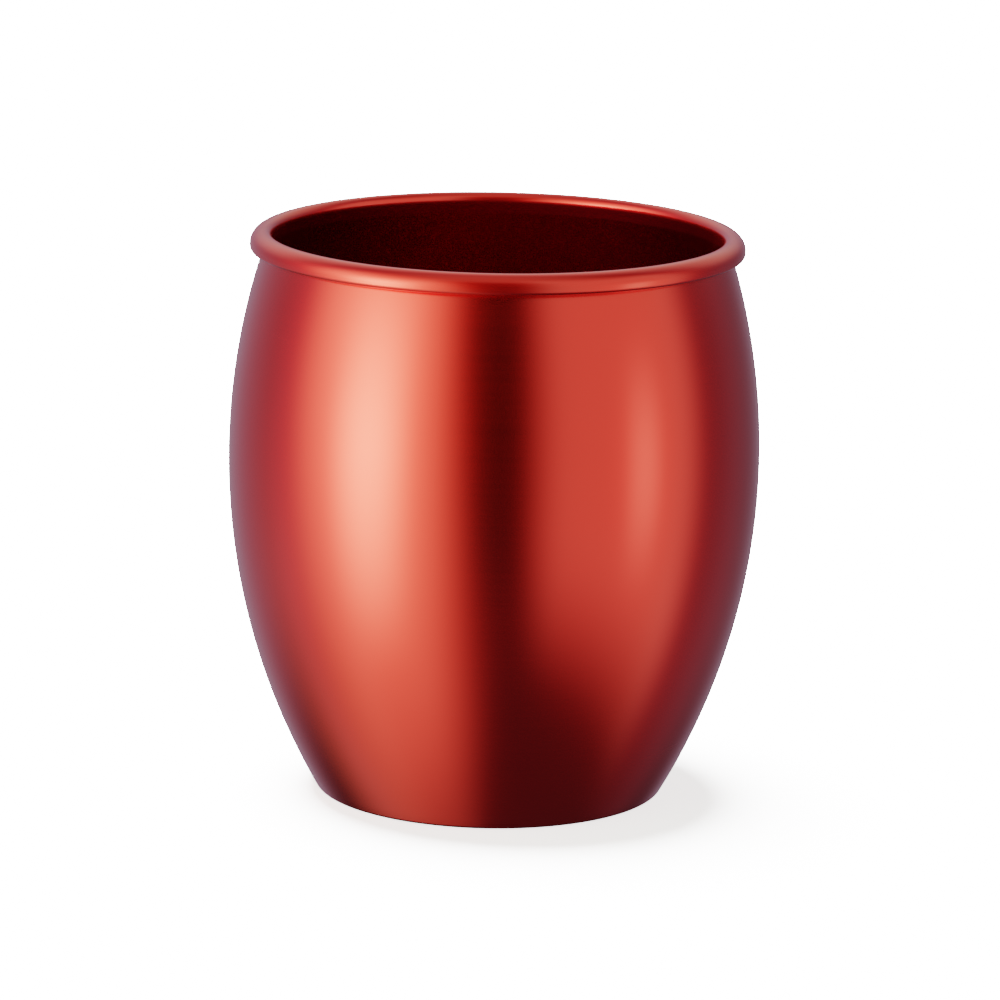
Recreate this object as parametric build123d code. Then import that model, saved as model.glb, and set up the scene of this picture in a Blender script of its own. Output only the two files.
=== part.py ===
from build123d import *
import os
from math import asin, atan2, cos, degrees, radians, sin, sqrt

# Handleless barrel tumbler in aluminium sheet, millimetres, +Z up.
# The origin is the middle of the base, on the surface that the cup stands on.

# Barrel
HEIGHT = 95.0             # standing surface to the top of the rolled rim
BELLY_DIAMETER = 89.0     # outside, at the widest ring
BELLY_HEIGHT = 57.0       # of the widest ring above the standing surface
BARREL_RADIUS = 113.0     # outside of the side, one arc from heel to rim
WALL_SHEET = 0.8          # thickness of the side

# Rolled rim
WIRE_DIAMETER = 1.4       # wire that the rim is rolled around
WIRE_CLEARANCE = 0.03     # between the wire and the roll
WIRE_BUTT_GAP = 0.4       # between the two cut ends of the wire
WIRE_SEAT = 40.0          # slope from the middle of the face's bend up to the wire
NOSE_BEND = 0.55          # inside radius where the side turns out at the mouth
FACE_SLACK = 0.76         # that the bend of the roll's outer face is wider than the wire
ROLL_GAP = 0.1            # between the tucked-in edge of the roll and the side

# Turned-in heel
HEEL_BEND = 0.3           # inside radius of the heel
STANDING_FLANGE = 4.0     # flat width of the turned-in edge

# Set-in base
BASE_SHEET = 1.0          # thickness of the base disc
BASE_BEND = 0.8           # inside radius of the disc's bends
BASE_FLANGE_HEIGHT = 4.0  # of the upturned edge above its seat
BASE_CLEARANCE = 0.1      # between the upturned edge and the side
PANEL_INSET = 1.5         # from the turned-in edge to the foot of the panel's step
PANEL_STEP = 1.8          # straight part of the step, along its slope
STEP_ANGLE = 45.0         # slope of the step
DOME_ANGLE = 5.0          # slope of the domed panel where it meets the step

# Middle line of the side: its arc's centre, and its bends at the heel and the rim
BARREL_CENTRE_X = BELLY_DIAMETER / 2 - BARREL_RADIUS
BARREL_CENTRE = (BARREL_CENTRE_X, BELLY_HEIGHT)
WALL_ARC = BARREL_RADIUS - WALL_SHEET / 2
HEEL_ARC = HEEL_BEND + WALL_SHEET / 2
NOSE_ARC = NOSE_BEND + WALL_SHEET / 2

# The wire lies on the tucked-in edge and against the face, which sets the radii of their bends
WIRE_BORE = WIRE_DIAMETER / 2 + WIRE_CLEARANCE
FACE_BEND = WIRE_BORE + FACE_SLACK
TUCK_BEND = WIRE_BORE - FACE_SLACK * sin(radians(WIRE_SEAT))
FACE_ARC = FACE_BEND + WALL_SHEET / 2
TUCK_ARC = TUCK_BEND + WALL_SHEET / 2


def radius_at(arc, height):
    """Distance from the cup's axis to an arc about the barrel's centre, at a height."""
    return BARREL_CENTRE_X + sqrt(arc**2 - (height - BELLY_HEIGHT) ** 2)


def angle_at(x, height):
    """Direction from the barrel's centre to a point of the section."""
    return degrees(atan2(height - BELLY_HEIGHT, x - BARREL_CENTRE_X))


# Centre of the heel's bend, tangent inside the side and to the turned-in edge
HEEL_Z = HEEL_ARC + WALL_SHEET / 2
HEEL_X = radius_at(WALL_ARC - HEEL_ARC, HEEL_Z)
FLANGE_EDGE_X = HEEL_X - STANDING_FLANGE

# Centre of the roll's nose, tangent outside the side, with its crown at the full height
NOSE_Z = HEIGHT - NOSE_BEND - WALL_SHEET
NOSE_X = radius_at(WALL_ARC + NOSE_ARC, NOSE_Z)

# Centres of the roll's outer face, of its tucked-in corner and of the wire
FACE_Z = HEIGHT - FACE_BEND - WALL_SHEET
TUCK_X = NOSE_X + FACE_BEND - TUCK_BEND
WIRE_X = NOSE_X + FACE_SLACK * cos(radians(WIRE_SEAT))
WIRE_Z = FACE_Z + FACE_SLACK * sin(radians(WIRE_SEAT))


def revolved(section, turn=360.0):
    """Turn a section, drawn as distance from the axis and height, about the cup's axis."""
    return revolve(Plane.XZ * section, axis=Axis.Z, revolution_arc=turn)


def barrel_wall():
    """The side, its lower edge turned in and its upper edge rolled outward and tucked in under itself."""
    heel_angle = angle_at(HEEL_X, HEEL_Z)
    rim_angle = angle_at(NOSE_X, NOSE_Z)

    # The tucked-in edge is level, and stops where its lower corner is ROLL_GAP from the side
    tuck_z = FACE_Z - TUCK_ARC
    tuck_end_x = radius_at(BARREL_RADIUS + ROLL_GAP, tuck_z - WALL_SHEET / 2)

    flange = Line((FLANGE_EDGE_X, WALL_SHEET / 2), (HEEL_X, WALL_SHEET / 2))
    heel = CenterArc((HEEL_X, HEEL_Z), HEEL_ARC, -90, 90 + heel_angle)
    side = CenterArc(BARREL_CENTRE, WALL_ARC, heel_angle, rim_angle - heel_angle)
    nose = CenterArc((NOSE_X, NOSE_Z), NOSE_ARC, 180 + rim_angle, -90 - rim_angle)
    face = CenterArc((NOSE_X, FACE_Z), FACE_ARC, 90, -90)
    corner = CenterArc((TUCK_X, FACE_Z), TUCK_ARC, 0, -90)
    tuck = Line((TUCK_X, tuck_z), (tuck_end_x, tuck_z))
    return revolved(trace([flange, heel, side, nose, face, corner, tuck], WALL_SHEET))


def rim_wire():
    """The wire inside the roll, bent to a ring with its ends butted at the back."""
    gap_angle = degrees(WIRE_BUTT_GAP / WIRE_X)
    ring = revolved(Pos(WIRE_X, WIRE_Z) * Circle(WIRE_DIAMETER / 2), 360 - gap_angle)
    return Rot(0, 0, 90 + gap_angle / 2) * ring


def base_disc():
    """The base, a domed panel with a stepped edge and a flange that follows the side."""
    seat_z = WALL_SHEET + BASE_SHEET / 2
    bend = BASE_BEND + BASE_SHEET / 2
    step = radians(STEP_ANGLE)
    dome = radians(DOME_ANGLE)

    # The step's run and rise, which place the panel inside and above its seat
    step_foot_x = FLANGE_EDGE_X - PANEL_INSET
    run = bend * (2 * sin(step) - sin(dome)) + PANEL_STEP * cos(step)
    rise = bend * (1 + cos(dome) - 2 * cos(step)) + PANEL_STEP * sin(step)
    panel_x = step_foot_x - run
    dome_arc = panel_x / sin(dome)
    dome_centre = (0, seat_z + rise - dome_arc * cos(dome))

    # The flange lies inside the side, and bends up from the seat
    flange_arc = BARREL_RADIUS - WALL_SHEET - BASE_CLEARANCE - BASE_SHEET / 2
    bend_x = radius_at(flange_arc - bend, seat_z + bend)
    bend_angle = angle_at(bend_x, seat_z + bend)
    flange_top = WALL_SHEET + BASE_FLANGE_HEIGHT
    flange_angle = degrees(asin((flange_top - BELLY_HEIGHT) / flange_arc))

    panel = CenterArc(dome_centre, dome_arc, 90, -DOME_ANGLE)
    step_crest = JernArc(panel @ 1, panel % 1, bend, DOME_ANGLE - STEP_ANGLE)
    step_slope = PolarLine(step_crest @ 1, PANEL_STEP, -STEP_ANGLE)
    step_foot = JernArc(step_slope @ 1, step_slope % 1, bend, STEP_ANGLE)
    seat = Line((step_foot_x, seat_z), (bend_x, seat_z))
    flange_bend = CenterArc((bend_x, seat_z + bend), bend, -90, 90 + bend_angle)
    flange = CenterArc(BARREL_CENTRE, flange_arc, bend_angle, flange_angle - bend_angle)
    middle_line = [panel, step_crest, step_slope, step_foot, seat, flange_bend, flange]
    return revolved(trace(middle_line, BASE_SHEET))


def main():
    os.makedirs("parts", exist_ok=True)
    pieces = {"barrel_wall": barrel_wall(), "rim_wire": rim_wire(), "base_disc": base_disc()}
    for node, piece in pieces.items():
        export_step(piece, f"parts/{node}.step")


main()
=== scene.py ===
# Looks of a barrel tumbler in red anodised aluminium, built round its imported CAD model
from collections import namedtuple
from math import cos, degrees, pi, radians, sin
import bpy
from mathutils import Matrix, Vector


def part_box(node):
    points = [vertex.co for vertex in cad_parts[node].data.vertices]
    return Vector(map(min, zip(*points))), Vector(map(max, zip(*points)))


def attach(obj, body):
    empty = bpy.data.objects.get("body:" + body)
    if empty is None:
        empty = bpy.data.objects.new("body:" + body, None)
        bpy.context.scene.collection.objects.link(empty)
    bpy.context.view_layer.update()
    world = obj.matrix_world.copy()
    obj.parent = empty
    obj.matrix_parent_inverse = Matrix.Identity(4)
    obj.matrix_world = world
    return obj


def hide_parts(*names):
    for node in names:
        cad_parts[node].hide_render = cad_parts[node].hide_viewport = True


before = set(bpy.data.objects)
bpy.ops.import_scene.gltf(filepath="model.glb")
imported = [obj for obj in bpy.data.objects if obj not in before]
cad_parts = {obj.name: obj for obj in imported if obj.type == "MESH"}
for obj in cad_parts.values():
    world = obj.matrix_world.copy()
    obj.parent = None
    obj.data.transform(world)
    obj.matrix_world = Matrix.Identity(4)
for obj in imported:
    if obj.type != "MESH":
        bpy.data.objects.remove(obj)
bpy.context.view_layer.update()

from types import SimpleNamespace

import bpy
from bpy.props import FloatProperty, FloatVectorProperty, IntProperty, PointerProperty
from mathutils import Matrix, Vector

bl_info = {
    "name": "Barrel Tumbler",
    "version": (1, 0, 0),
    "blender": (4, 5, 0),
    "location": "View3D > Sidebar > Tumbler",
    "description": "Builds a barrel tumbler in anodised sheet with a rolled rim, and a studio round it",
    "category": "Object",
}

WALL_LOW, WALL_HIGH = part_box("barrel_wall")
BODY = "root"

# Steps along each kind of arc in a section, and the room for them in the numbering of the points
SIDE_STEPS = 64
ROLL_STEPS = 28
BEND_STEPS = 10
EDGE_STEPS = 3
PANEL_STEPS = 20
STEP_ROOM = 1000

# Distance at which points are welded, and angle from which an edge stays sharp
WELD_DISTANCE = 2e-6
CREASE_ANGLE = radians(35.0)

# Below the top of the cup: where the inside's painted shade and rougher finish start, and where the roll's
# satin ends and how softly
RIM_REACH = 0.002
ROLL_REACH = 0.0034
ROLL_EDGE = 0.0002

# Clear oxide: its refraction, how uneven its gloss is, and the share of the gloss that the inside lacks
OXIDE_IOR = 1.61
OXIDE_UNEVEN = 0.1
OXIDE_LACK = 0.7

# Patterns of the red finish, per metre, how much each changes the roughness, and the middle of their noise
LINE_DRIFT = 12.0
DYE_SCALE = 45.0
LINE_ROUGHNESS = 0.04
DYE_ROUGHNESS = 0.03
NOISE_MIDDLE = 0.5

# Wire: patterns along and across it, per metre, its darkest tone, and its least and added roughness
WIRE_DRIFT = 40.0
WIRE_LINES = 20000.0
WIRE_DARK = 0.92
WIRE_SATIN = 0.25
WIRE_UNEVEN = 0.2


def length(label, about, default):
    """A size in metres that a user can change."""
    return FloatProperty(name=label, description=about, default=default, min=0.0, unit="LENGTH", precision=5)


def turn(label, about, default):
    """An angle that a user can change, given in degrees."""
    return FloatProperty(name=label, description=about, default=radians(default), subtype="ANGLE")


def share(label, about, default):
    """A value between 0 and 1 that a user can change."""
    return FloatProperty(name=label, description=about, default=default, min=0.0, max=1.0, subtype="FACTOR")


def tint(label, about, default):
    """A colour that a user can change."""
    return FloatVectorProperty(name=label, description=about, default=default, size=3, min=0.0, max=1.0,
                               subtype="COLOR")


def level(label, about, default):
    """A brightness that a user can change."""
    return FloatProperty(name=label, description=about, default=default, min=0.0)


class TumblerSizes(bpy.types.PropertyGroup):
    """Sizes of the sheet that the tumbler is made of."""

    height: length("Height", "Standing surface to the top of the rolled rim", WALL_HIGH.z)
    belly_diameter: length("Belly Diameter", "Outside, at the widest ring", WALL_HIGH.x - WALL_LOW.x)
    belly_height: length("Belly Height", "Widest ring above the standing surface", 0.0570)
    barrel_radius: length("Barrel Radius", "Outside of the side, one arc from heel to rim", 0.1130)
    wall_sheet: length("Wall Sheet", "Thickness of the side", 0.0008)
    wire_bore: length("Wire Bore", "Radius that the wire needs inside the rolled rim", 0.00073)
    wire_seat: turn("Wire Seat", "Slope from the middle of the face's bend up to the wire", 40.0)
    nose_bend: length("Nose Bend", "Inside radius where the side turns out at the mouth", 0.00055)
    face_slack: length("Face Slack", "That the bend of the roll's outer face is wider than the wire", 0.00076)
    roll_corner: length("Roll Corner", "Outside radius of the roll's tucked-in corner", 0.0007)
    roll_gap: length("Roll Gap", "Tucked-in edge of the roll to the side", 0.0001)
    heel_bend: length("Heel Bend", "Inside radius of the heel", 0.0003)
    standing_flange: length("Standing Flange", "Flat width of the turned-in edge", 0.0040)
    base_sheet: length("Base Sheet", "Thickness of the base disc", 0.0010)
    base_bend: length("Base Bend", "Inside radius of the base disc's bends", 0.0008)
    base_flange: length("Base Flange", "Upturned edge above its seat", 0.0040)
    base_clearance: length("Base Clearance", "Upturned edge to the side", 0.0001)
    panel_inset: length("Panel Inset", "Turned-in edge to the foot of the panel's step", 0.0015)
    panel_step: length("Panel Step", "Straight part of the step, along its slope", 0.0018)
    step_angle: turn("Step Angle", "Slope of the panel's step", 45.0)
    dome_angle: turn("Dome Angle", "Slope of the domed panel at its edge", 5.0)
    edge_round: length("Edge Round", "Rounding of the cut edges", 0.0001)
    segments: IntProperty(name="Segments", description="Facets round the axis", default=224, min=24, max=512)


class TumblerFinish(bpy.types.PropertyGroup):
    """Colours and surface of the anodised sheet and of the wire."""

    dye: tint("Dye", "Colour that the dyed oxide gives the metal", (0.87, 0.0145, 0.0105))
    dye_deep: tint("Deep Dye", "Colour where the oxide took up more dye", (0.85, 0.0135, 0.0095))
    satin: share("Satin", "Roughness of the metal under the oxide", 0.26)
    satin_roll: share("Roll Satin", "Roughness of the rolled rim", 0.34)
    line_pitch: length("Line Pitch", "Spacing of the turned lines", 0.0003)
    line_depth: length("Line Depth", "Depth of the turned lines", 0.0000004)
    # Painted shade: the darker red inside the cup and on the base disc stands for the shade in its hollow
    inside_painted_shade: tint("Inside Painted Shade", "Colour of the inside and of the base disc", (0.54, 0.010, 0.030))
    satin_inside: share("Inside Satin", "Roughness of the inside and of the base disc", 0.32)
    seal: share("Seal", "Gloss of the sealed oxide over the dye", 1.0)
    seal_satin: share("Seal Satin", "Roughness of the sealed oxide", 0.18)
    wire: tint("Wire", "Colour of the bare wire", (0.78, 0.78, 0.79))


class TumblerStage(bpy.types.PropertyGroup):
    """Camera, lights and floor."""

    distance: length("Distance", "Camera to its aim", 0.940)
    elevation: turn("Elevation", "Camera above the horizon", 12.718)
    lean: turn("Lean", "Turn of the camera about its line of sight", 1.046)
    aim_side: length("Aim Side", "Aim to the right of the axis", 0.00113)
    aim_height: length("Aim Height", "Aim above the floor", 0.04917)
    lens: FloatProperty(name="Lens", description="Focal length on a 36 mm sensor", default=201.28,
                        unit="CAMERA")
    key: level("Key", "Brightness of the left softbox", 3.01)
    core: level("Core", "Added brightness in the middle of the left softbox", 7.2)
    bounce: level("Bounce", "Brightness of the card under the left softbox", 0.77)
    fill: level("Fill", "Brightness of the right softbox", 0.94)
    strip: level("Strip", "Added brightness of the strip in the right softbox", 1.42)
    side: level("Side", "Brightness of the studio past the softboxes", 0.152)
    top: level("Top", "Brightness of the studio overhead", 0.47)
    back: level("Back", "Brightness of the studio's back wall in reflections", 0.294)
    back_top: level("Back Top", "Added brightness high on the back wall", 0.5)
    dark: level("Dark", "Brightness of the unlit studio in reflections", 0.0105)
    low: level("Low", "Added brightness of the unlit studio below", 0.055)
    glow: tint("Glow", "Colour of the left softbox and of its card", (0.98, 1.0, 0.685))
    warm: tint("Warm", "Colour of the other lit parts", (0.985, 1.0, 0.740))
    cool: tint("Cool", "Colour of the unlit studio", (0.96, 0.79, 1.0))
    sweep: level("Sweep", "Brightness of the white background", 18.0)
    sun: level("Sun", "Strength of the light on the floor", 62.0)
    shade: level("Shade", "Brightness of the floor in the cup's shadow", 1.55)


class Term:
    """A value in a node tree. Python's arithmetic on it adds Math nodes."""

    def __init__(self, board, socket):
        self.board = board
        self.socket = socket

    def out(self, name):
        """Another output of the same node."""
        return Term(self.board, self.socket.node.outputs[name])

    def math(self, operation, *others):
        """A Math node on this value and others."""
        return self.board.math(operation, self, *others)

    def __add__(self, other):
        return self.math("ADD", other)

    def __radd__(self, other):
        return self.board.math("ADD", other, self)

    def __sub__(self, other):
        return self.math("SUBTRACT", other)

    def __rsub__(self, other):
        return self.board.math("SUBTRACT", other, self)

    def __mul__(self, other):
        return self.math("MULTIPLY", other)

    def __rmul__(self, other):
        return self.board.math("MULTIPLY", other, self)

    def __truediv__(self, other):
        return self.math("DIVIDE", other)

    def __rtruediv__(self, other):
        return self.board.math("DIVIDE", other, self)

    def __neg__(self):
        return self.board.math("SUBTRACT", 0.0, self)

    def squared(self):
        return self.math("MULTIPLY", self)

    def root(self):
        return self.math("SQRT")

    def sine(self):
        return self.math("SINE")

    def cosine(self):
        return self.math("COSINE")


class Board:
    """A node tree, filled by one method."""

    def __init__(self, tree):
        self.tree = tree

    def add(self, kind, settings, sockets, out=0):
        """Add a node: its settings first, then the values or links of its sockets. Gives one output."""
        node = self.tree.nodes.new(kind)
        for name, value in settings.items():
            setattr(node, name, value)
        for name, value in sockets.items():
            self.plug(value, node.inputs[name])
        return Term(self, node.outputs[out]) if node.outputs else None

    def plug(self, value, socket):
        """Link a term, or each term of a list, to a socket, or set its value."""
        if isinstance(value, Term):
            self.tree.links.new(value.socket, socket)
        elif isinstance(value, list):
            for one in value:
                self.plug(one, socket)
        else:
            socket.default_value = value

    def math(self, operation, *values):
        """Add a Math node."""
        return self.add("ShaderNodeMath", {"operation": operation}, dict(enumerate(values)))


def ease(board, value, low, high):
    """A smooth step from 0 at low to 1 at high."""
    return board.add("ShaderNodeMapRange", {"interpolation_type": "SMOOTHSTEP"},
                     {"Value": value, "From Min": low, "From Max": high, "To Min": 0.0, "To Max": 1.0})


def blend(board, factor, first, second):
    """The first colour where the factor is 0, and the second where it is 1."""
    return board.add("ShaderNodeMix", {"data_type": "RGBA"}, {0: factor, 6: first, 7: second}, 2)


def arc(centre, radius, start, sweep, steps):
    """One arc of a section: its centre as distance from the axis and height, and its angles in radians."""
    return SimpleNamespace(centre=centre, radius=radius, start=start, sweep=sweep, steps=steps)


def side_of(size):
    """Where the side's arc has its centre, where its heel bends, and where its turned-in edge ends."""
    centre_x = size.belly_diameter / 2 - size.barrel_radius
    heel_z = size.heel_bend + size.wall_sheet
    heel_drop = heel_z - size.belly_height
    heel_run = ((size.barrel_radius - heel_z).squared() - heel_drop.squared()).root()
    return SimpleNamespace(
        centre=(centre_x, size.belly_height),
        heel=(centre_x + heel_run, heel_z),
        heel_angle=heel_drop.math("ARCTAN2", heel_run),
        flange_edge=centre_x + heel_run - size.standing_flange,
    )


def wall_section(size):
    """Section of the side, clockwise: its turned-in edge, its inside, its roll and its outside."""
    side = side_of(size)
    sheet = size.wall_sheet
    nose_z = size.height - size.nose_bend - sheet
    nose_rise = nose_z - size.belly_height
    nose_run = ((size.barrel_radius + size.nose_bend).squared() - nose_rise.squared()).root()
    nose = (side.centre[0] + nose_run, nose_z)
    rim_angle = nose_rise.math("ARCTAN2", nose_run)
    side_sweep = rim_angle - side.heel_angle
    nose_sweep = pi / 2 + rim_angle

    # The wire lies on the tucked-in edge and against the face, which sets the radii of their bends
    face_bend = size.wire_bore + size.face_slack
    tuck_bend = size.wire_bore - size.face_slack * size.wire_seat.sine()
    face = (nose[0], size.height - face_bend - sheet)
    corner = (nose[0] + face_bend - tuck_bend, face[1])

    # The tucked-in edge is level, and stops where its lower corner is one gap from the side
    tuck_z = face[1] - tuck_bend - sheet
    tuck_drop = tuck_z - size.belly_height
    tuck_run = ((size.barrel_radius + size.roll_gap).squared() - tuck_drop.squared()).root()

    # Outside, the tucked-in corner is pressed tighter than the bend inside it
    pressed = (face[0] + face_bend + sheet - size.roll_corner, tuck_z + size.roll_corner)

    edge = size.edge_round
    tuck_x = side.centre[0] + tuck_run + edge
    flange_x = side.flange_edge + edge
    heel_sweep = pi / 2 + side.heel_angle
    return [
        arc((flange_x, edge), edge, -pi / 2, -pi / 2, EDGE_STEPS),
        arc((flange_x, sheet - edge), edge, pi, -pi / 2, EDGE_STEPS),
        arc(side.heel, size.heel_bend, -pi / 2, heel_sweep, BEND_STEPS),
        arc(side.centre, size.barrel_radius - sheet, side.heel_angle, side_sweep, SIDE_STEPS),
        arc(nose, size.nose_bend + sheet, pi + rim_angle, -nose_sweep, ROLL_STEPS),
        arc(face, face_bend + sheet, pi / 2, -pi / 2, ROLL_STEPS),
        arc(pressed, size.roll_corner, 0.0, -pi / 2, ROLL_STEPS),
        arc((tuck_x, tuck_z + edge), edge, -pi / 2, -pi / 2, EDGE_STEPS),
        arc((tuck_x, tuck_z + sheet - edge), edge, pi, -pi / 2, EDGE_STEPS),
        arc(corner, tuck_bend, -pi / 2, pi / 2, BEND_STEPS),
        arc(face, face_bend, 0.0, pi / 2, BEND_STEPS),
        arc(nose, size.nose_bend, pi / 2, nose_sweep, BEND_STEPS),
        arc(side.centre, size.barrel_radius, rim_angle, -side_sweep, SIDE_STEPS),
        arc(side.heel, size.heel_bend + sheet, side.heel_angle, -heel_sweep, BEND_STEPS),
    ]


def base_section(size):
    """Section of the base disc, clockwise from the axis: over its top to its flange, and back under it."""
    side = side_of(size)
    half = size.base_sheet / 2
    inner = size.base_bend
    outer = size.base_bend + size.base_sheet
    bend = size.base_bend + half
    seat_z = size.wall_sheet + half
    step = size.step_angle
    dome = size.dome_angle

    # The step's run and rise place the panel inside and above its seat
    foot = (side.flange_edge - size.panel_inset, seat_z + bend)
    run = bend * (2 * step.sine() - dome.sine()) + size.panel_step * step.cosine()
    rise = bend * (1 + dome.cosine() - 2 * step.cosine()) + size.panel_step * step.sine()
    panel_x = foot[0] - run
    panel_z = seat_z + rise
    panel_arc = panel_x / dome.sine()
    panel = (0.0, panel_z - panel_arc * dome.cosine())
    crest = (panel_x - bend * dome.sine(), panel_z - bend * dome.cosine())

    # The flange follows the inside of the side, and bends up from the seat
    flange_outside = size.barrel_radius - size.wall_sheet - size.base_clearance
    flange_inside = flange_outside - size.base_sheet
    flange_arc = flange_outside - half
    bend_drop = seat_z + bend - size.belly_height
    bend_run = ((flange_arc - bend).squared() - bend_drop.squared()).root()
    turn_up = (side.centre[0] + bend_run, seat_z + bend)
    low = bend_drop.math("ARCTAN2", bend_run)
    drop = size.wall_sheet + size.base_flange - size.belly_height
    high = (drop / flange_arc).math("ARCSINE")
    edge = size.edge_round

    def lip(radius):
        """Centre of a rounded corner at the top of the flange."""
        angle = high - edge / radius
        return side.centre[0] + radius * angle.cosine(), side.centre[1] + radius * angle.sine()

    high_inside = high - edge / flange_inside
    high_outside = high - edge / flange_outside
    bend_sweep = pi / 2 + low
    crest_sweep = step - dome
    return [
        arc(panel, panel_arc + half, pi / 2, -dome, PANEL_STEPS),
        arc(crest, outer, pi / 2 - dome, -crest_sweep, BEND_STEPS),
        arc(foot, inner, -pi / 2 - step, step, BEND_STEPS),
        arc(turn_up, inner, -pi / 2, bend_sweep, BEND_STEPS),
        arc(side.centre, flange_inside, low, high_inside - low, EDGE_STEPS),
        arc(lip(flange_inside + edge), edge, high + pi, -pi / 2, EDGE_STEPS),
        arc(lip(flange_outside - edge), edge, high + pi / 2, -pi / 2, EDGE_STEPS),
        arc(side.centre, flange_outside, high_outside, low - high_outside, EDGE_STEPS),
        arc(turn_up, outer, low, -bend_sweep, BEND_STEPS),
        arc(foot, outer, -pi / 2, -step, BEND_STEPS),
        arc(crest, inner, pi / 2 - step, crest_sweep, BEND_STEPS),
        arc(panel, panel_arc - half, pi / 2 - dome, dome, PANEL_STEPS),
    ]


def own_properties(group):
    """The properties that a group declares, without the two that every group has."""
    return [prop for prop in group.bl_rna.properties if prop.identifier not in ("rna_type", "name")]


def turned_tree(label, section, closed):
    """Node tree that draws a section from its arcs and turns it about the cup's axis."""
    tree = bpy.data.node_groups.new(label, "GeometryNodeTree")
    sizes = own_properties(TumblerSizes)
    for prop in sizes:
        kind = "NodeSocketInt" if prop.type == "INT" else "NodeSocketFloat"
        socket = tree.interface.new_socket(name=prop.name, in_out="INPUT", socket_type=kind)
        socket.default_value = prop.default
    tree.interface.new_socket(name="Finish", in_out="INPUT", socket_type="NodeSocketMaterial")
    tree.interface.new_socket(name="Geometry", in_out="OUTPUT", socket_type="NodeSocketGeometry")

    board = Board(tree)
    inputs = board.add("NodeGroupInput", {}, {})
    size = SimpleNamespace(**{prop.identifier: inputs.out(prop.name) for prop in sizes})
    index = board.add("GeometryNodeInputIndex", {}, {})
    belly = size.belly_diameter / 2

    # Points along each arc, numbered so that the arcs join in their order
    runs = []
    for number, part in enumerate(section(size)):
        angle = part.start + part.sweep * (index / part.steps)
        across = part.centre[0] + part.radius * angle.cosine() - belly
        up = part.centre[1] + part.radius * angle.sine()
        place = board.add("ShaderNodeCombineXYZ", {}, {"X": across, "Y": -up})
        points = board.add("GeometryNodePoints", {}, {"Count": part.steps + 1, "Position": place})
        order = index + STEP_ROOM * number
        runs.append(board.add("GeometryNodeStoreNamedAttribute", {"data_type": "FLOAT", "domain": "POINT"},
                              {"Geometry": points, "Name": "order", "Value": order}))
    order = board.add("GeometryNodeInputNamedAttribute", {"data_type": "FLOAT"}, {"Name": "order"})
    joined = board.add("GeometryNodeJoinGeometry", {}, {"Geometry": runs})
    outline = board.add("GeometryNodePointsToCurves", {}, {"Points": joined, "Weight": order})
    outline = board.add("GeometryNodeSetSplineCyclic", {}, {"Geometry": outline, "Cyclic": closed})

    # Turned about the axis, with the doubled points between arcs and at the pole welded
    ring = board.add("GeometryNodeCurvePrimitiveCircle", {"mode": "RADIUS"},
                     {"Resolution": size.segments, "Radius": belly})
    skin = board.add("GeometryNodeCurveToMesh", {}, {"Curve": ring, "Profile Curve": outline})
    skin = board.add("GeometryNodeMergeByDistance", {}, {"Geometry": skin, "Distance": WELD_DISTANCE})
    skin = board.add("GeometryNodeRemoveAttribute", {}, {"Geometry": skin, "Name": "order"})
    skin = board.add("GeometryNodeSetShadeSmooth", {}, {"Geometry": skin, "Shade Smooth": True})
    skin = board.add("GeometryNodeRealizeInstances", {}, {"Geometry": skin})
    skin = board.add("GeometryNodeSetMaterial", {}, {"Geometry": skin, "Material": inputs.out("Finish")})
    board.add("NodeGroupOutput", {}, {"Geometry": skin})
    return tree


def turned_piece(name, section, closed, finish, sizes):
    """Make a turned piece of sheet as a plain mesh at the origin."""
    tree = turned_tree(name + "_section", section, closed)
    seed = bpy.data.meshes.new(name + "_seed")
    piece = bpy.data.objects.new(name, seed)
    bpy.context.scene.collection.objects.link(piece)
    modifier = piece.modifiers.new("Turned", "NODES")
    modifier.node_group = tree
    sockets = {item.name: item.identifier for item in tree.interface.items_tree if item.in_out == "INPUT"}
    for prop in own_properties(sizes):
        modifier[sockets[prop.name]] = getattr(sizes, prop.identifier)
    modifier[sockets["Finish"]] = finish

    graph = bpy.context.evaluated_depsgraph_get()
    mesh = bpy.data.meshes.new_from_object(piece.evaluated_get(graph), depsgraph=graph)
    if not mesh.polygons:
        raise RuntimeError(f"the section of {name} made no faces")
    piece.modifiers.remove(modifier)
    piece.data = mesh
    mesh.name = name
    bpy.data.meshes.remove(seed)
    mesh.set_sharp_from_angle(angle=CREASE_ANGLE)
    return piece


def blank_material(name):
    """A material with an empty node tree, and its board."""
    material = bpy.data.materials.new(name)
    material.use_nodes = True
    material.node_tree.nodes.clear()
    return material, Board(material.node_tree)


def colour(value):
    """A colour with its opacity."""
    return (*value, 1.0)


def inside_mask(board, radius, z, sizes):
    """1 inside the side and on the base disc, 0 outside, on the rolled rim and on the standing ring: where
    the painted shade of the hollow and the inside's rougher finish go.
    """
    centre = sizes.belly_diameter / 2 - sizes.barrel_radius
    middle = sizes.barrel_radius - sizes.wall_sheet / 2
    depth = centre + (middle**2 - (z - sizes.belly_height).squared()).root() - radius
    half = sizes.wall_sheet / 2
    within = ease(board, depth, -half / 4, half / 2)
    over_ring = ease(board, z, half, 2 * half)
    under_rim = 1 - ease(board, z, sizes.height - RIM_REACH, sizes.height - RIM_REACH / 2)
    return within * over_ring * under_rim


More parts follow.
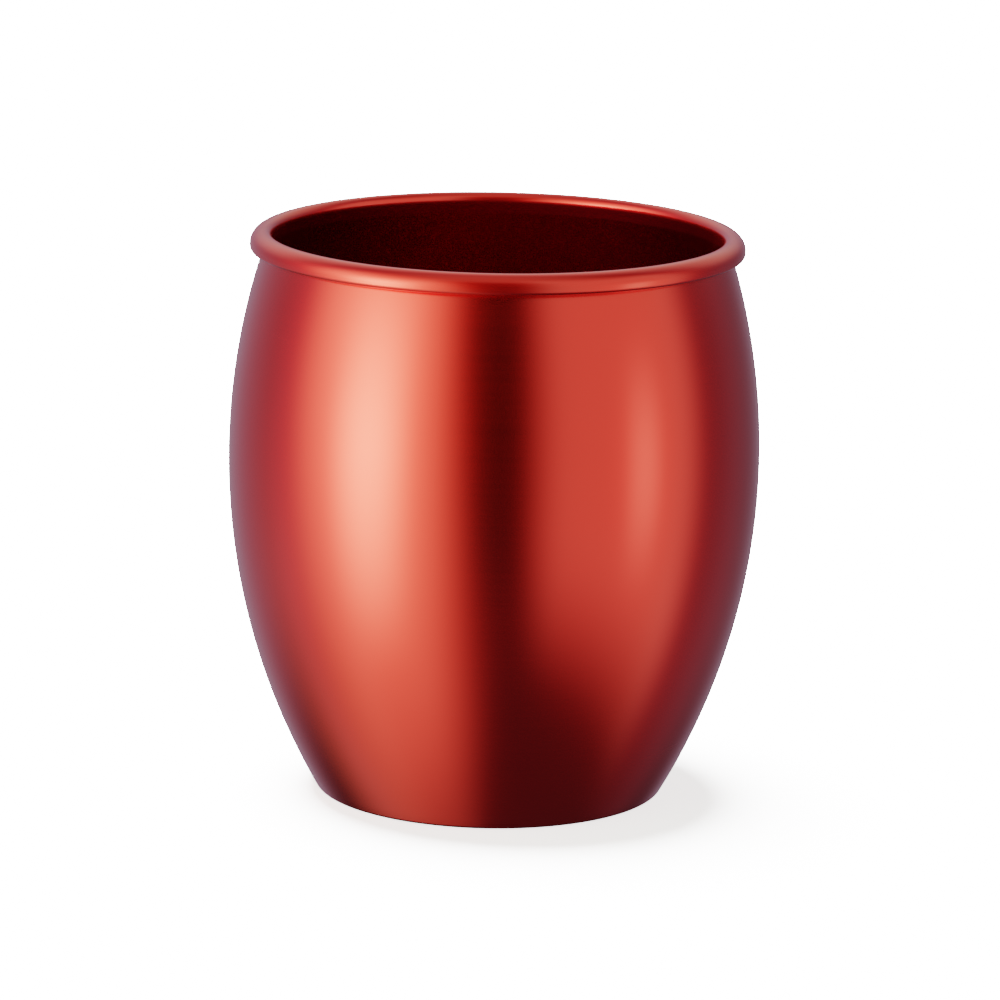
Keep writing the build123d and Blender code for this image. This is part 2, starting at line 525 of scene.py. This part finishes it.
def red_anodised(finish, sizes):
    """Satin red anodised sheet: dyed metal with fine turned lines, under a clear sealed oxide, with a darker
    red inside the cup and on the base disc as painted shade.
    """
    made = bpy.data.materials.get("satin_red_oxide")
    if made:
        return made
    material, board = blank_material("satin_red_oxide")
    place = board.add("ShaderNodeTexCoord", {}, {}, "Object")
    x = board.add("ShaderNodeSeparateXYZ", {}, {"Vector": place}, "X")
    y, z = x.out("Y"), x.out("Z")
    radius = (x * x + y * y).root()
    inside = inside_mask(board, radius, z, sizes)

    # Turned lines are rings, so they run with the height on the side and with the radius on the base
    ring = (z + radius) / finish.line_pitch
    line_place = board.add("ShaderNodeCombineXYZ", {}, {"X": x * LINE_DRIFT, "Y": y * LINE_DRIFT, "Z": ring})
    lines = board.add("ShaderNodeTexNoise", {"noise_dimensions": "3D"},
                      {"Vector": line_place, "Scale": 1.0, "Detail": 3.0, "Roughness": 0.6})
    broad = board.add("ShaderNodeTexNoise", {"noise_dimensions": "3D"},
                      {"Vector": place, "Scale": DYE_SCALE, "Detail": 2.0})

    dye_and_painted_shade = blend(board, broad, colour(finish.dye_deep), colour(finish.dye))
    # Painted shade: inside the cup and on the base disc the colour turns to a darker red for the shade in the
    # hollow
    dye_and_painted_shade = blend(board, inside, dye_and_painted_shade, colour(finish.inside_painted_shade))
    rolled = ease(board, z, sizes.height - ROLL_REACH - ROLL_EDGE, sizes.height - ROLL_REACH)
    satin = finish.satin + (finish.satin_roll - finish.satin) * rolled
    satin = satin + (finish.satin_inside - finish.satin) * inside
    roughness = satin + (lines - NOISE_MIDDLE) * LINE_ROUGHNESS + (broad - NOISE_MIDDLE) * DYE_ROUGHNESS
    seal = (finish.seal - broad * OXIDE_UNEVEN) * (1 - OXIDE_LACK * inside)
    bump = board.add("ShaderNodeBump", {}, {"Strength": 1.0, "Distance": finish.line_depth, "Height": lines})
    surface = board.add("ShaderNodeBsdfPrincipled", {}, {
        "Base Color": dye_and_painted_shade,
        "Metallic": 1.0,
        "Roughness": roughness,
        "Normal": bump,
        "Coat Weight": seal,
        "Coat Roughness": finish.seal_satin,
        "Coat IOR": OXIDE_IOR,
    })
    board.add("ShaderNodeOutputMaterial", {}, {"Surface": surface})
    return material


def bare_wire(finish):
    """Bare drawn wire, with fine drawing lines along it."""
    material, board = blank_material("drawn_wire")
    place = board.add("ShaderNodeTexCoord", {}, {}, "Object")
    x = board.add("ShaderNodeSeparateXYZ", {}, {"Vector": place}, "X")
    y, z = x.out("Y"), x.out("Z")
    radius = (x * x + y * y).root()
    lines = {"X": x * WIRE_DRIFT, "Y": y * WIRE_DRIFT, "Z": (z - radius) * WIRE_LINES}
    drawn_place = board.add("ShaderNodeCombineXYZ", {}, lines)
    drawn = board.add("ShaderNodeTexNoise", {"noise_dimensions": "3D"},
                      {"Vector": drawn_place, "Scale": 1.0, "Detail": 2.0})
    shade = blend(board, drawn, colour([WIRE_DARK * part for part in finish.wire]), colour(finish.wire))
    surface = board.add("ShaderNodeBsdfPrincipled", {}, {
        "Base Color": shade,
        "Metallic": 1.0,
        "Roughness": WIRE_SATIN + drawn * WIRE_UNEVEN,
    })
    board.add("ShaderNodeOutputMaterial", {}, {"Surface": surface})
    return material


class TUMBLER_OT_barrel_wall(bpy.types.Operator):
    """Make the side of the cup, with its rolled rim and its turned-in edge"""

    bl_idname = "tumbler.barrel_wall"
    bl_label = "Barrel Wall"

    def execute(self, context):
        scene = context.scene
        finish = red_anodised(scene.tumbler_finish, scene.tumbler_sizes)
        piece = turned_piece("turned_barrel", wall_section, True, finish, scene.tumbler_sizes)
        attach(piece, BODY)
        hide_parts("barrel_wall")
        return {"FINISHED"}


class TUMBLER_OT_base_disc(bpy.types.Operator):
    """Make the pressed base with its domed panel and its upturned flange"""

    bl_idname = "tumbler.base_disc"
    bl_label = "Base Disc"

    def execute(self, context):
        scene = context.scene
        finish = red_anodised(scene.tumbler_finish, scene.tumbler_sizes)
        piece = turned_piece("pressed_base", base_section, False, finish, scene.tumbler_sizes)
        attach(piece, BODY)
        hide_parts("base_disc")
        return {"FINISHED"}


class TUMBLER_OT_rim_wire(bpy.types.Operator):
    """Give the CAD wire inside the rolled rim its drawn finish"""

    bl_idname = "tumbler.rim_wire"
    bl_label = "Rim Wire"

    def execute(self, context):
        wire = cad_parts["rim_wire"]
        wire.data.materials.clear()
        wire.data.materials.append(bare_wire(context.scene.tumbler_finish))
        return {"FINISHED"}


def towards(azimuth, elevation):
    """Direction from the cup, with azimuth 0 to the front, positive to the right, in degrees."""
    a, e = radians(azimuth), radians(elevation)
    return Vector((sin(a) * cos(e), -cos(a) * cos(e), sin(e)))


SoftWindow = namedtuple("SoftWindow", "azimuth half_width side_edge low low_edge high high_edge")

# Soft windows of light round the cup, in degrees: where each stands, its reach and how soft its edges are
KEY = SoftWindow(-55.9, 31.3, 16.9, -30.5, 39.8, 42.0, 27.0)
CORE = SoftWindow(-55.2, 12.2, 11.4, -21.4, 21.0, 12.9, 21.0)
BOUNCE = SoftWindow(-66.5, 46.1, 27.1, -68.1, 26.5, -30.5, 39.8)
FILL = SoftWindow(57.7, 37.0, 11.0, -34.5, 14.8, 54.0, 18.0)
STRIP = SoftWindow(67.6, 6.9, 5.0, -18.0, 10.0, 4.0, 10.0)
RIGHT_SIDE = SoftWindow(113.1, 22.0, 16.0, -43.8, 17.4, 60.0, 15.0)
LEFT_SIDE = SoftWindow(-101.0, 8.5, 8.5, -54.0, 17.4, 60.0, 15.0)

# Lean of the left softbox per degree of height, and slope of the right one's ends per degree to the right
KEY_LEAN = 0.1
FILL_SLOPE = 0.12

# Directions of the overhead light and the back wall, and limits between which these and the low part fade
TOP_WAY = towards(0.0, 76.0)
TOP_EDGE = (0.78, 0.98)
BACK_WAY = towards(-140.0, 0.0)
BACK_EDGE = (-0.37, 1.0)
BACK_FOOT = (-0.68, -0.34)
BACK_SIDE = (0.1, 0.7)
BACK_RISE = (0.05, 0.55)
LOW_EDGE = (-0.75, 0.0)
LOW_BACK = (-0.3, 1.1)

# The floor, the light on it and the camera
SUN_WAY = towards(-137.0, 77.6)
SUN_SPREAD = radians(35.0)
FLOOR_REACH = 3.0
FLOOR_GAP = 0.0001
FLOOR_PAINT = (0.9, 0.9, 0.9, 1.0)
WHITE = (1.0, 1.0, 1.0, 1.0)
SENSOR_WIDTH = 36.0
SIGHT_END = 50.0


def shine(board, azimuth, elevation, window):
    """How much of a soft window of light lies in a direction."""
    aside = (azimuth - window.azimuth).math("ABSOLUTE")
    wide = window.half_width
    beyond = ease(board, aside, wide - window.side_edge, wide + window.side_edge)
    over_foot = ease(board, elevation, window.low - window.low_edge, window.low + window.low_edge)
    over_top = ease(board, elevation, window.high - window.high_edge, window.high + window.high_edge)
    return (1 - beyond) * over_foot * (1 - over_top)


def studio_world(stage):
    """White to the camera, and in reflections a dim studio with soft windows of light."""
    world = bpy.data.worlds.new("studio")
    world.use_nodes = True
    world.node_tree.nodes.clear()
    board = Board(world.node_tree)
    way = board.add("ShaderNodeTexCoord", {}, {}, "Generated")
    x = board.add("ShaderNodeSeparateXYZ", {}, {"Vector": way}, "X")
    y, z = x.out("Y"), x.out("Z")
    azimuth = x.math("ARCTAN2", -y) * degrees(1.0)
    elevation = z.math("ARCSINE") * degrees(1.0)

    # Softboxes with the left one's lean and the right one's slope, the overhead light and the high back wall
    leant = azimuth + KEY_LEAN * elevation
    sloped = elevation + FILL_SLOPE * (azimuth - FILL.azimuth)
    left = stage.key * shine(board, leant, elevation, KEY)
    left += stage.core * shine(board, azimuth, elevation, CORE)
    left += stage.bounce * shine(board, azimuth, elevation, BOUNCE)
    lit = stage.fill * shine(board, azimuth, sloped, FILL)
    lit += stage.strip * shine(board, azimuth, elevation, STRIP)
    overhead = y * TOP_WAY.y + z * TOP_WAY.z
    lit += stage.top * ease(board, overhead, *TOP_EDGE)
    lit += stage.back_top * ease(board, y, *BACK_SIDE) * ease(board, z, *BACK_RISE)

    # The unlit studio, paler below, at the back and past the softboxes
    behind = x * BACK_WAY.x + y * BACK_WAY.y
    low = (1 - ease(board, z, *LOW_EDGE)) * (1 - ease(board, y, *LOW_BACK))
    dim = stage.dark + stage.low * low
    dim += stage.back * ease(board, behind, *BACK_EDGE) * ease(board, z, *BACK_FOOT)
    for window in (LEFT_SIDE, RIGHT_SIDE):
        dim += stage.side * shine(board, azimuth, elevation, window)

    glow = board.add("ShaderNodeBackground", {}, {"Color": colour(stage.glow), "Strength": left})
    warm = board.add("ShaderNodeBackground", {}, {"Color": colour(stage.warm), "Strength": lit})
    cool = board.add("ShaderNodeBackground", {}, {"Color": colour(stage.cool), "Strength": dim})
    softboxes = board.add("ShaderNodeAddShader", {}, {0: glow, 1: warm})
    reflected = board.add("ShaderNodeAddShader", {}, {0: softboxes, 1: cool})
    white = board.add("ShaderNodeBackground", {}, {"Color": WHITE, "Strength": stage.sweep})
    seen = board.add("ShaderNodeLightPath", {}, {}, "Is Camera Ray")
    light = board.add("ShaderNodeMixShader", {}, {0: seen, 1: reflected, 2: white})
    board.add("ShaderNodeOutputWorld", {}, {"Surface": light})
    bpy.context.scene.world = world


def floor_light(stage, floor):
    """A broad light from above that reaches the floor only, where the cup still throws its shadow."""
    lamp = bpy.data.lights.new("floor_light", "SUN")
    lamp.energy = stage.sun
    lamp.angle = SUN_SPREAD
    sun = bpy.data.objects.new("floor_light", lamp)
    sun.rotation_euler = SUN_WAY.to_track_quat("Z", "Y").to_euler()
    bpy.context.scene.collection.objects.link(sun)
    lit = bpy.data.collections.new("floor_only")
    lit.objects.link(floor)
    sun.light_linking.receiver_collection = lit


def studio_floor(stage):
    """Plain white floor just under the cup, left out of the reflections."""
    ways = ((-1, -1), (1, -1), (1, 1), (-1, 1))
    corners = [(x * FLOOR_REACH, y * FLOOR_REACH, -FLOOR_GAP) for x, y in ways]
    mesh = bpy.data.meshes.new("floor")
    mesh.from_pydata(corners, [], [(0, 1, 2, 3)])
    floor = bpy.data.objects.new("floor", mesh)
    bpy.context.scene.collection.objects.link(floor)
    material, board = blank_material("white_floor")
    matt = board.add("ShaderNodeBsdfDiffuse", {}, {"Color": FLOOR_PAINT})
    shade = board.add("ShaderNodeEmission", {}, {"Color": WHITE, "Strength": stage.shade})
    surface = board.add("ShaderNodeAddShader", {}, {0: matt, 1: shade})
    board.add("ShaderNodeOutputMaterial", {}, {"Surface": surface})
    material.cycles.emission_sampling = "NONE"
    mesh.materials.append(material)
    floor.visible_glossy = False
    return floor


def photo_camera(stage):
    """Camera at the photograph's viewing angle."""
    lens = bpy.data.cameras.new("camera")
    lens.sensor_width = SENSOR_WIDTH
    lens.lens = stage.lens
    lens.clip_end = SIGHT_END
    camera = bpy.data.objects.new("camera", lens)
    back = towards(0.0, degrees(stage.elevation))
    right = Vector((1.0, 0.0, 0.0))
    up = back.cross(right)
    leant_right = cos(stage.lean) * right + sin(stage.lean) * up
    leant_up = back.cross(leant_right)
    place = Vector((stage.aim_side, 0.0, stage.aim_height)) + back * stage.distance
    turned = Matrix((leant_right, leant_up, back)).transposed()
    camera.matrix_world = Matrix.Translation(place) @ turned.to_4x4()
    bpy.context.scene.collection.objects.link(camera)
    bpy.context.scene.camera = camera


class TUMBLER_OT_stage(bpy.types.Operator):
    """Set up the floor, the lights, the background and the camera"""

    bl_idname = "tumbler.stage"
    bl_label = "Stage"

    def execute(self, context):
        stage = context.scene.tumbler_stage
        floor = studio_floor(stage)
        floor_light(stage, floor)
        studio_world(stage)
        photo_camera(stage)
        context.scene.view_settings.view_transform = "Filmic"
        context.scene.view_settings.look = "Medium High Contrast"
        return {"FINISHED"}


class TUMBLER_PT_panel(bpy.types.Panel):
    """Lists the tumbler's pieces and values"""

    bl_idname = "TUMBLER_PT_panel"
    bl_label = "Barrel Tumbler"
    bl_space_type = "VIEW_3D"
    bl_region_type = "UI"
    bl_category = "Tumbler"

    def draw(self, context):
        layout = self.layout
        for operator in OPERATORS:
            layout.operator(operator.bl_idname)
        for group in (context.scene.tumbler_sizes, context.scene.tumbler_finish, context.scene.tumbler_stage):
            box = layout.box()
            for prop in own_properties(group):
                box.prop(group, prop.identifier)


OPERATORS = (TUMBLER_OT_barrel_wall, TUMBLER_OT_base_disc, TUMBLER_OT_rim_wire, TUMBLER_OT_stage)
CLASSES = (TumblerSizes, TumblerFinish, TumblerStage, *OPERATORS, TUMBLER_PT_panel)


def register():
    for kind in CLASSES:
        bpy.utils.register_class(kind)
    bpy.types.Scene.tumbler_sizes = PointerProperty(type=TumblerSizes)
    bpy.types.Scene.tumbler_finish = PointerProperty(type=TumblerFinish)
    bpy.types.Scene.tumbler_stage = PointerProperty(type=TumblerStage)


def unregister():
    del bpy.types.Scene.tumbler_stage
    del bpy.types.Scene.tumbler_finish
    del bpy.types.Scene.tumbler_sizes
    for kind in reversed(CLASSES):
        bpy.utils.unregister_class(kind)


def main():
    register()
    bpy.ops.tumbler.barrel_wall()
    bpy.ops.tumbler.base_disc()
    bpy.ops.tumbler.rim_wire()
    bpy.ops.tumbler.stage()


if __name__ == "__main__":
    main()
